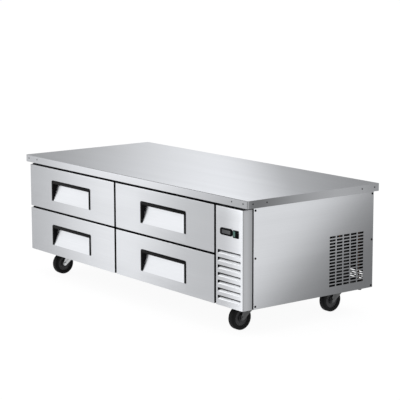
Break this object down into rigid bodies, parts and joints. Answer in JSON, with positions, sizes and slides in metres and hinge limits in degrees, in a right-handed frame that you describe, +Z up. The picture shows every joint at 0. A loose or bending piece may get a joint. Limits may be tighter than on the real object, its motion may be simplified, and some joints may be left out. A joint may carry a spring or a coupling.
{
  "type": "refrigerated chef base",
  "caption": "Low stainless refrigerated chef base: flat worktop over insulated drawers with recessed pulls, condensing unit behind louvres at the right end, on swivel casters.",
  "frame": {"origin": "on the floor under the middle of the worktop", "axes": "+X to the right along the front, +Y towards the rear, +Z up; the drawers open towards -Y"},
  "size_m": [1.835, 0.79, 0.622],
  "materials": {
    "stainless": "brushed stainless steel, fine grain",
    "inner_stainless": "plain rolled stainless steel",
    "galvanised": "galvanised sheet",
    "zinc": "zinc-plated pressed steel",
    "coil_fins": "thin aluminium fins",
    "black_plastic": "charcoal moulded plastic",
    "gasket": "dark soft vinyl",
    "tyre": "black rubber tread",
    "black_paint": "black enamel",
    "green_lens": "translucent green",
    "foam": "foamed polyurethane"
  },
  "bodies": {
    "cabinet": {"worktop": "stainless", "left_side_panel": "stainless", "right_side_panel": "stainless", "rear_panel": "galvanised", "base_pan": "galvanised", "cord_gland": "black_plastic", "face_frame": "inner_stainless", "cabinet_liner": "inner_stainless", "insulation": "foam", "control_panel": "stainless", "controller": "black_plastic", "switch_housing": "black_plastic", "compressor": "black_paint", "condenser_coil": "coil_fins", "condenser_fan_shroud": "black_paint", "evaporator_coil": "coil_fins", "evaporator_housing": "inner_stainless", "left_drawer_rack": "zinc", "right_drawer_rack": "zinc", "front_left_caster_plate": "zinc", "front_right_caster_plate": "zinc", "rear_left_caster_plate": "zinc", "rear_right_caster_plate": "zinc"},
    "rocker": {"switch_rocker": "green_lens"},
    "condenser_rotor": {"condenser_fan": "black_plastic"},
    "evaporator_rotor": {"evaporator_fan": "black_plastic"},
    "left_upper_drawer": {"left_upper_drawer_front": "stainless", "left_upper_pull_bezel": "black_plastic", "left_upper_gasket": "gasket", "left_upper_carriage": "inner_stainless"},
    "left_upper_slides": {"left_upper_middle_slide_l": "zinc", "left_upper_middle_slide_r": "zinc"},
    "left_lower_drawer": {"left_lower_drawer_front": "stainless", "left_lower_pull_bezel": "black_plastic", "left_lower_gasket": "gasket", "left_lower_carriage": "inner_stainless"},
    "left_lower_slides": {"left_lower_middle_slide_l": "zinc", "left_lower_middle_slide_r": "zinc"},
    "right_upper_drawer": {"right_upper_drawer_front": "stainless", "right_upper_pull_bezel": "black_plastic", "right_upper_gasket": "gasket", "right_upper_carriage": "inner_stainless"},
    "right_upper_slides": {"right_upper_middle_slide_l": "zinc", "right_upper_middle_slide_r": "zinc"},
    "right_lower_drawer": {"right_lower_drawer_front": "stainless", "right_lower_pull_bezel": "black_plastic", "right_lower_gasket": "gasket", "right_lower_carriage": "inner_stainless"},
    "right_lower_slides": {"right_lower_middle_slide_l": "zinc", "right_lower_middle_slide_r": "zinc"},
    "front_left_fork": {"front_left_caster_fork": "zinc"},
    "front_left_wheel": {"front_left_caster_wheel": "tyre"},
    "front_left_pedal": {"front_left_brake_pedal": "black_paint"},
    "front_right_fork": {"front_right_caster_fork": "zinc"},
    "front_right_wheel": {"front_right_caster_wheel": "tyre"},
    "front_right_pedal": {"front_right_brake_pedal": "black_paint"},
    "rear_left_fork": {"rear_left_caster_fork": "zinc"},
    "rear_left_wheel": {"rear_left_caster_wheel": "tyre"},
    "rear_right_fork": {"rear_right_caster_fork": "zinc"},
    "rear_right_wheel": {"rear_right_caster_wheel": "tyre"}
  },
  "joints": [
    {"name": "left_upper_drawer_slide", "type": "slide", "parent": "cabinet", "child": "left_upper_drawer", "axis": [0, -1, 0], "range_m": [0, 0.54]},
    {"name": "left_upper_middle_slide", "type": "slide", "parent": "cabinet", "child": "left_upper_slides", "axis": [0, -1, 0], "range_m": [0, 0.27]},
    {"name": "left_lower_drawer_slide", "type": "slide", "parent": "cabinet", "child": "left_lower_drawer", "axis": [0, -1, 0], "range_m": [0, 0.54]},
    {"name": "left_lower_middle_slide", "type": "slide", "parent": "cabinet", "child": "left_lower_slides", "axis": [0, -1, 0], "range_m": [0, 0.27]},
    {"name": "right_upper_drawer_slide", "type": "slide", "parent": "cabinet", "child": "right_upper_drawer", "axis": [0, -1, 0], "range_m": [0, 0.54]},
    {"name": "right_upper_middle_slide", "type": "slide", "parent": "cabinet", "child": "right_upper_slides", "axis": [0, -1, 0], "range_m": [0, 0.27]},
    {"name": "right_lower_drawer_slide", "type": "slide", "parent": "cabinet", "child": "right_lower_drawer", "axis": [0, -1, 0], "range_m": [0, 0.54]},
    {"name": "right_lower_middle_slide", "type": "slide", "parent": "cabinet", "child": "right_lower_slides", "axis": [0, -1, 0], "range_m": [0, 0.27]},
    {"name": "power_rocker", "type": "hinge", "parent": "cabinet", "child": "rocker", "pos_m": [0.8335, -0.388, 0.463], "axis": [0, 0, 1], "range_deg": [-9, 0]},
    {"name": "condenser_fan_spin", "type": "hinge", "parent": "cabinet", "child": "condenser_rotor", "pos_m": [0.78635, -0.2382, 0.2463], "axis": [0, 1, 0], "continuous": true},
    {"name": "evaporator_fan_spin", "type": "hinge", "parent": "cabinet", "child": "evaporator_rotor", "pos_m": [0.2935, 0.275, 0.478], "axis": [0, 1, 0], "continuous": true},
    {"name": "front_left_swivel", "type": "hinge", "parent": "cabinet", "child": "front_left_fork", "pos_m": [-0.7375, -0.246, 0.114], "axis": [0, 0, 1], "continuous": true},
    {"name": "front_left_roll", "type": "hinge", "parent": "front_left_fork", "child": "front_left_wheel", "pos_m": [-0.7375, -0.291, 0.0554], "axis": [1, 0, 0], "continuous": true},
    {"name": "front_left_brake", "type": "hinge", "parent": "front_left_fork", "child": "front_left_pedal", "pos_m": [-0.7375, -0.2442, 0.1019], "axis": [1, 0, 0], "range_deg": [-14, 0]},
    {"name": "front_right_swivel", "type": "hinge", "parent": "cabinet", "child": "front_right_fork", "pos_m": [0.7375, -0.246, 0.114], "axis": [0, 0, 1], "continuous": true},
    {"name": "front_right_roll", "type": "hinge", "parent": "front_right_fork", "child": "front_right_wheel", "pos_m": [0.7375, -0.291, 0.0554], "axis": [1, 0, 0], "continuous": true},
    {"name": "front_right_brake", "type": "hinge", "parent": "front_right_fork", "child": "front_right_pedal", "pos_m": [0.7375, -0.2442, 0.1019], "axis": [1, 0, 0], "range_deg": [-14, 0]},
    {"name": "rear_left_swivel", "type": "hinge", "parent": "cabinet", "child": "rear_left_fork", "pos_m": [-0.7375, 0.3035, 0.114], "axis": [0, 0, 1], "continuous": true},
    {"name": "rear_left_roll", "type": "hinge", "parent": "rear_left_fork", "child": "rear_left_wheel", "pos_m": [-0.7375, 0.2585, 0.0554], "axis": [1, 0, 0], "continuous": true},
    {"name": "rear_right_swivel", "type": "hinge", "parent": "cabinet", "child": "rear_right_fork", "pos_m": [0.7375, 0.3035, 0.114], "axis": [0, 0, 1], "continuous": true},
    {"name": "rear_right_roll", "type": "hinge", "parent": "rear_right_fork", "child": "rear_right_wheel", "pos_m": [0.7375, 0.2585, 0.0554], "axis": [1, 0, 0], "continuous": true}
  ],
  "couplings": [
    {"joint": "left_upper_middle_slide", "follows": "left_upper_drawer_slide", "ratio": 0.5},
    {"joint": "left_lower_middle_slide", "follows": "left_lower_drawer_slide", "ratio": 0.5},
    {"joint": "right_upper_middle_slide", "follows": "right_upper_drawer_slide", "ratio": 0.5},
    {"joint": "right_lower_middle_slide", "follows": "right_lower_drawer_slide", "ratio": 0.5}
  ]
}
